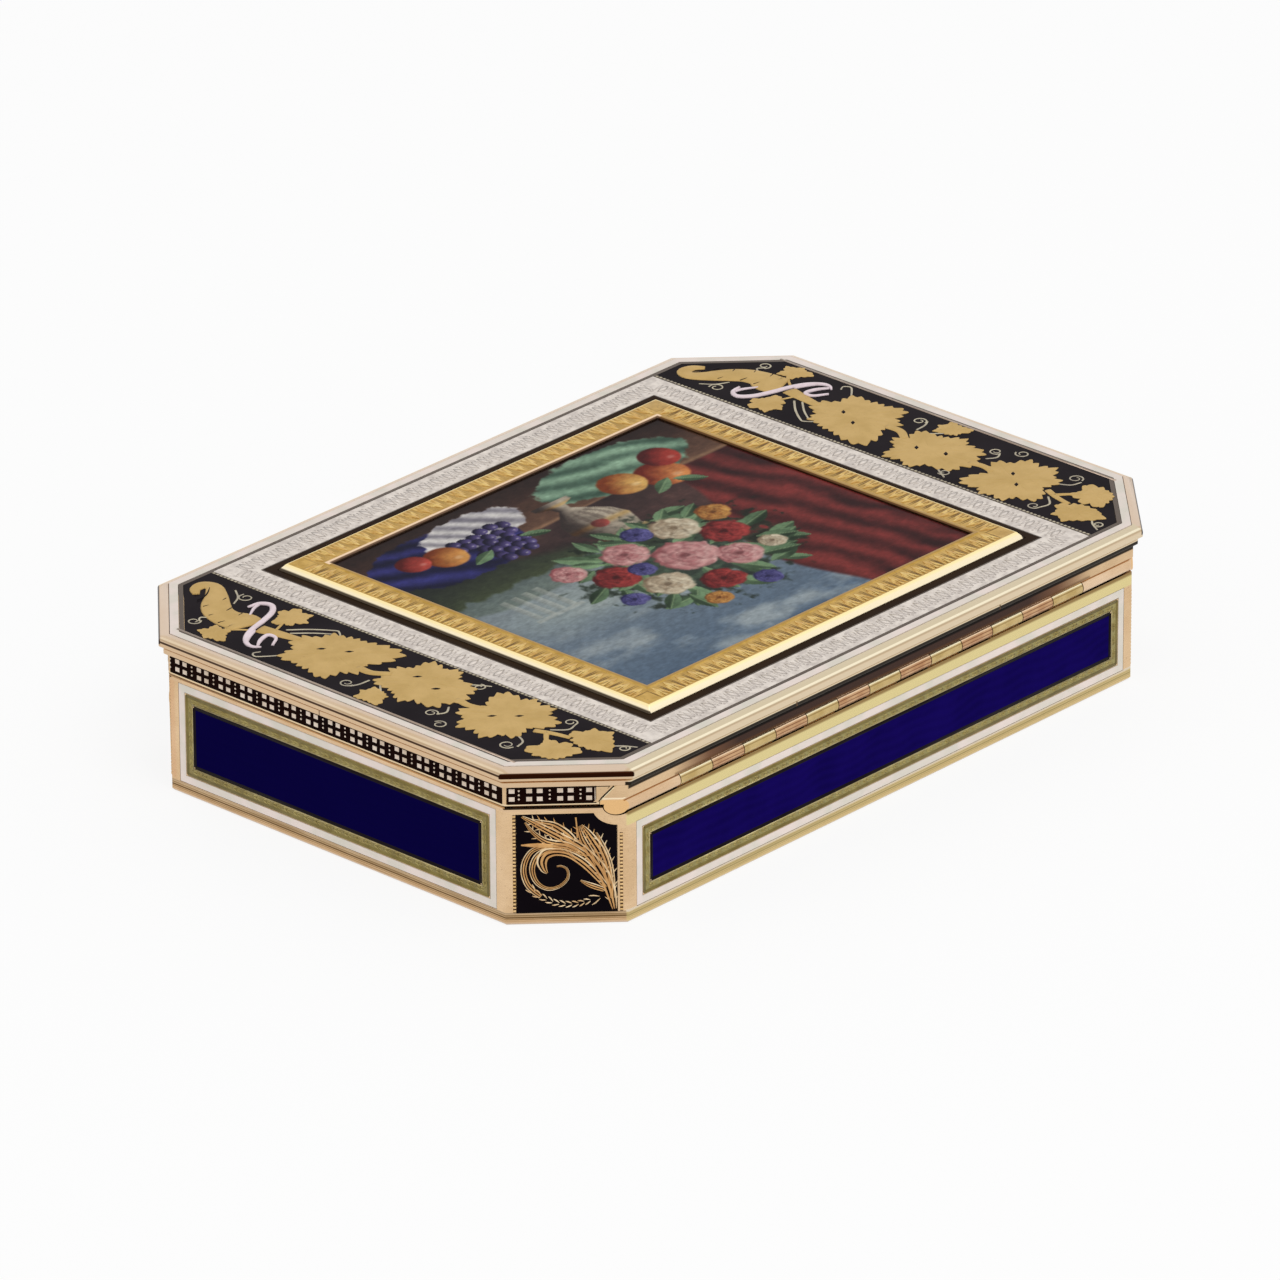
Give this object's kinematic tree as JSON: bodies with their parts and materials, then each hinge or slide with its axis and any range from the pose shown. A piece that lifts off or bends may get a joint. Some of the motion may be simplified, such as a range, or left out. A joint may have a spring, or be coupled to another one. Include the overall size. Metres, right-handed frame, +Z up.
{
  "type": "snuff box",
  "caption": "Low gold snuff box with cut corners: enamelled side panels, hinged lid with a framed painted enamel picture, scrollwork end panels and a knuckled hinge.",
  "frame": {"origin": "middle of the underside, on the surface that the box stands on", "axes": "+X along the box's length, +Y towards the hinge, +Z up through the lid"},
  "size_m": [0.09, 0.0618, 0.0171],
  "materials": {
    "gold": "polished",
    "rose_gold": "polished",
    "green_gold": "satin",
    "white_enamel": "gloss",
    "pattern_enamel": "satin",
    "blue_enamel": "polished",
    "black_enamel": "gloss",
    "painted_enamel": "gloss"
  },
  "bodies": {
    "base": {"base_knuckle_1": "gold", "base_knuckle_2": "gold", "base_knuckle_3": "gold", "base_knuckle_4": "gold", "base_knuckle_5": "gold", "base_knuckle_6": "gold", "base_knuckle_7": "gold", "base_plate": "gold", "base_wall": "gold", "blue_panel_hinge_side": "blue_enamel", "blue_panel_left_end": "blue_enamel", "blue_panel_right_end": "blue_enamel", "blue_panel_thumb_side": "blue_enamel", "corner_panel_hinge_left": "black_enamel", "corner_panel_hinge_right": "black_enamel", "corner_panel_thumb_left": "black_enamel", "corner_panel_thumb_right": "black_enamel", "green_border_hinge_side": "green_gold", "green_border_left_end": "green_gold", "green_border_right_end": "green_gold", "green_border_thumb_side": "green_gold", "hinge_pin": "gold", "inner_lining": "gold", "underside_fillet": "white_enamel", "underside_panel": "blue_enamel", "white_fillet_hinge_side": "white_enamel", "white_fillet_left_end": "white_enamel", "white_fillet_right_end": "white_enamel", "white_fillet_thumb_side": "white_enamel"},
    "lid": {"black_band_hinge_left": "black_enamel", "black_band_hinge_right": "black_enamel", "black_band_left_end": "black_enamel", "black_band_right_end": "black_enamel", "black_band_thumb_left": "black_enamel", "black_band_thumb_right": "black_enamel", "black_band_thumb_side": "black_enamel", "black_line": "black_enamel", "end_panel_left": "black_enamel", "end_panel_right": "black_enamel", "lid_fillet": "white_enamel", "lid_knuckle_1": "rose_gold", "lid_knuckle_2": "rose_gold", "lid_knuckle_3": "rose_gold", "lid_knuckle_4": "rose_gold", "lid_knuckle_5": "rose_gold", "lid_knuckle_6": "rose_gold", "lid_plate": "gold", "lid_rim": "rose_gold", "lid_shoulder_left": "rose_gold", "lid_shoulder_right": "rose_gold", "lid_wall": "gold", "pattern_band": "pattern_enamel", "picture": "painted_enamel", "picture_frame": "gold"}
  },
  "joints": [
    {"name": "lid_hinge", "type": "hinge", "parent": "base", "child": "lid", "pos_m": [0, 0.02911, 0.0121], "axis": [-1, 0, 0], "range_deg": [0, 95]}
  ]
}
